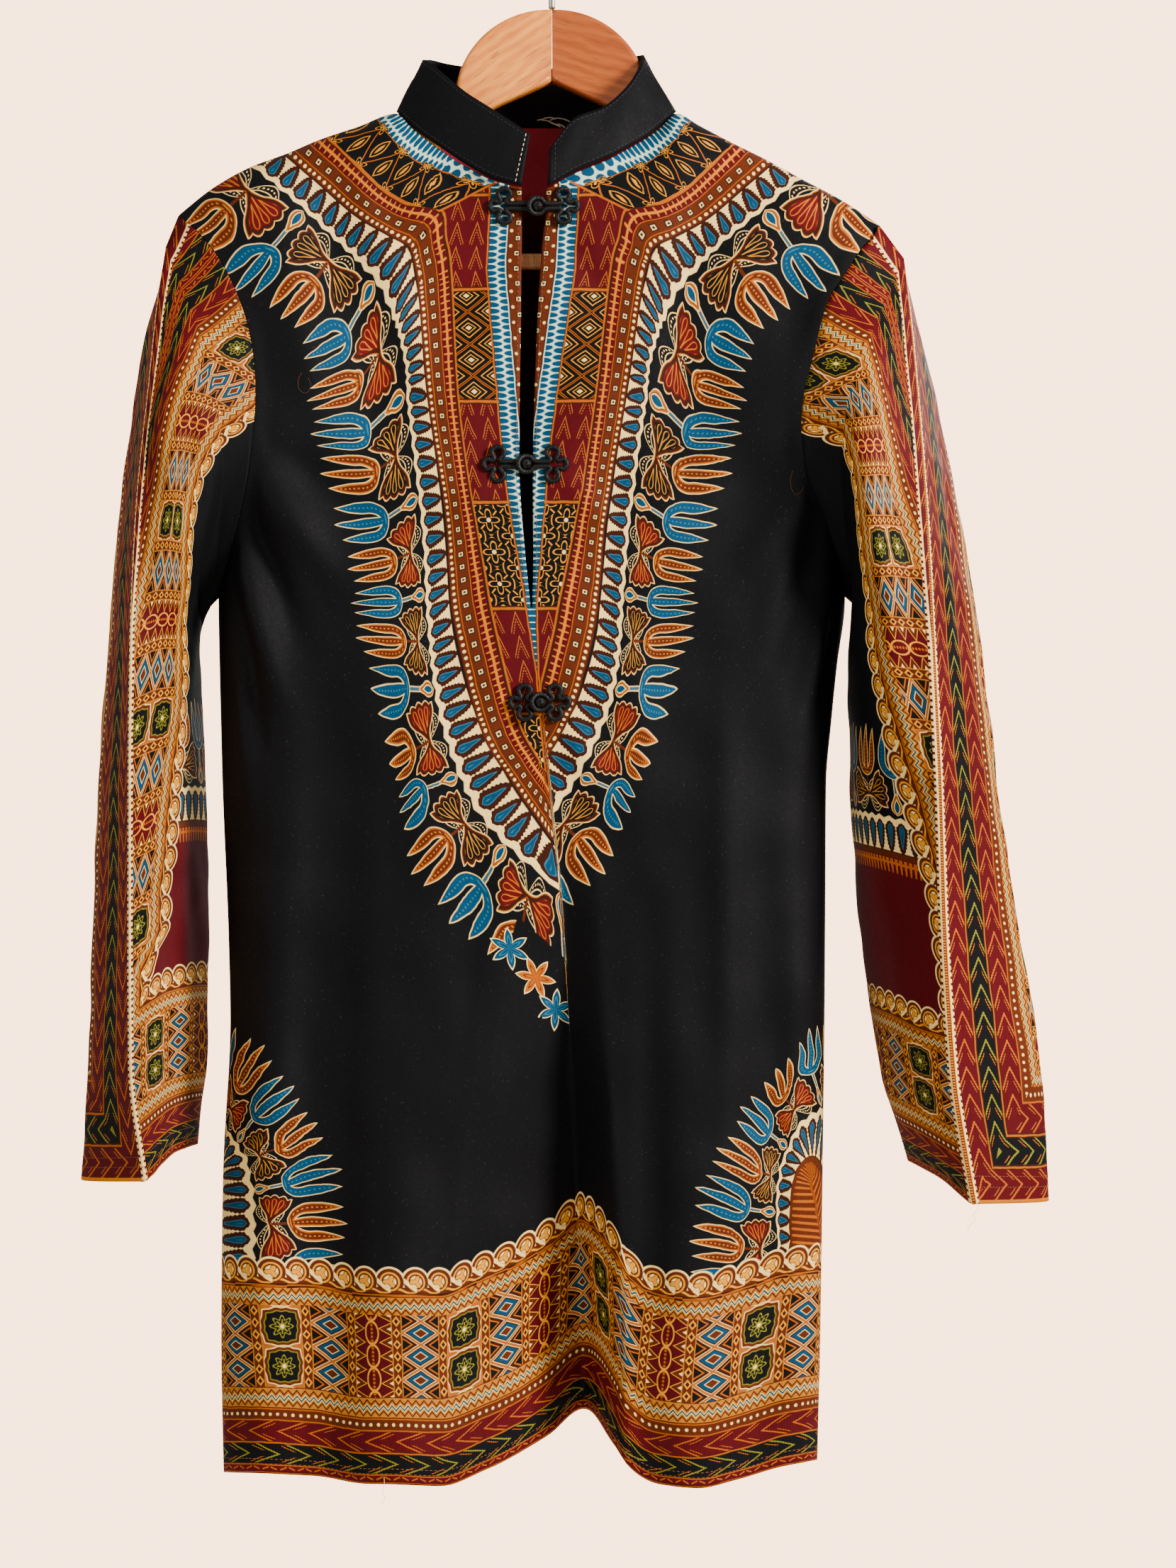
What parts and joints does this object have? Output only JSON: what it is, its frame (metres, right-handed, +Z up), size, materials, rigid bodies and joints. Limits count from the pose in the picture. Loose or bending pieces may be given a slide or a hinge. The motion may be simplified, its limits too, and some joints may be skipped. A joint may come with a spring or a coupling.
{
  "type": "dashiki tunic on a wooden hanger",
  "caption": "Long-sleeved cotton tunic with a traditional dashiki print, stand collar and knotted cord closures down a neck slit, hung flat on a wooden hanger with a wire hook.",
  "frame": {"origin": "seat of the hook: the top of the inside of the hanger's hook, where a rail carries it", "axes": "+Z up, +Y from the viewer to the back of the garment, +X to the viewer's right"},
  "size_m": [0.6156, 0.1294, 1.0009],
  "materials": {
    "printed_cotton": "matte printed cotton",
    "black_cotton": "matte black cotton",
    "black_cord": "satin rolled cord",
    "beech": "clear varnish",
    "steel_wire": "bright wire"
  },
  "bodies": {
    "root": {"front": "printed_cotton", "sleeve_left": "printed_cotton", "sleeve_right": "printed_cotton", "back": "black_cotton", "collar": "black_cotton", "hanger_left": "beech", "hanger_right": "beech", "hanger_bar": "beech", "hanger_hook": "steel_wire", "frog_1_left": "black_cord", "frog_1_right": "black_cord", "frog_1_knot": "black_cord", "frog_2_left": "black_cord", "frog_2_right": "black_cord", "frog_2_knot": "black_cord", "frog_3_left": "black_cord", "frog_3_right": "black_cord", "frog_3_knot": "black_cord"}
  },
  "joints": []
}
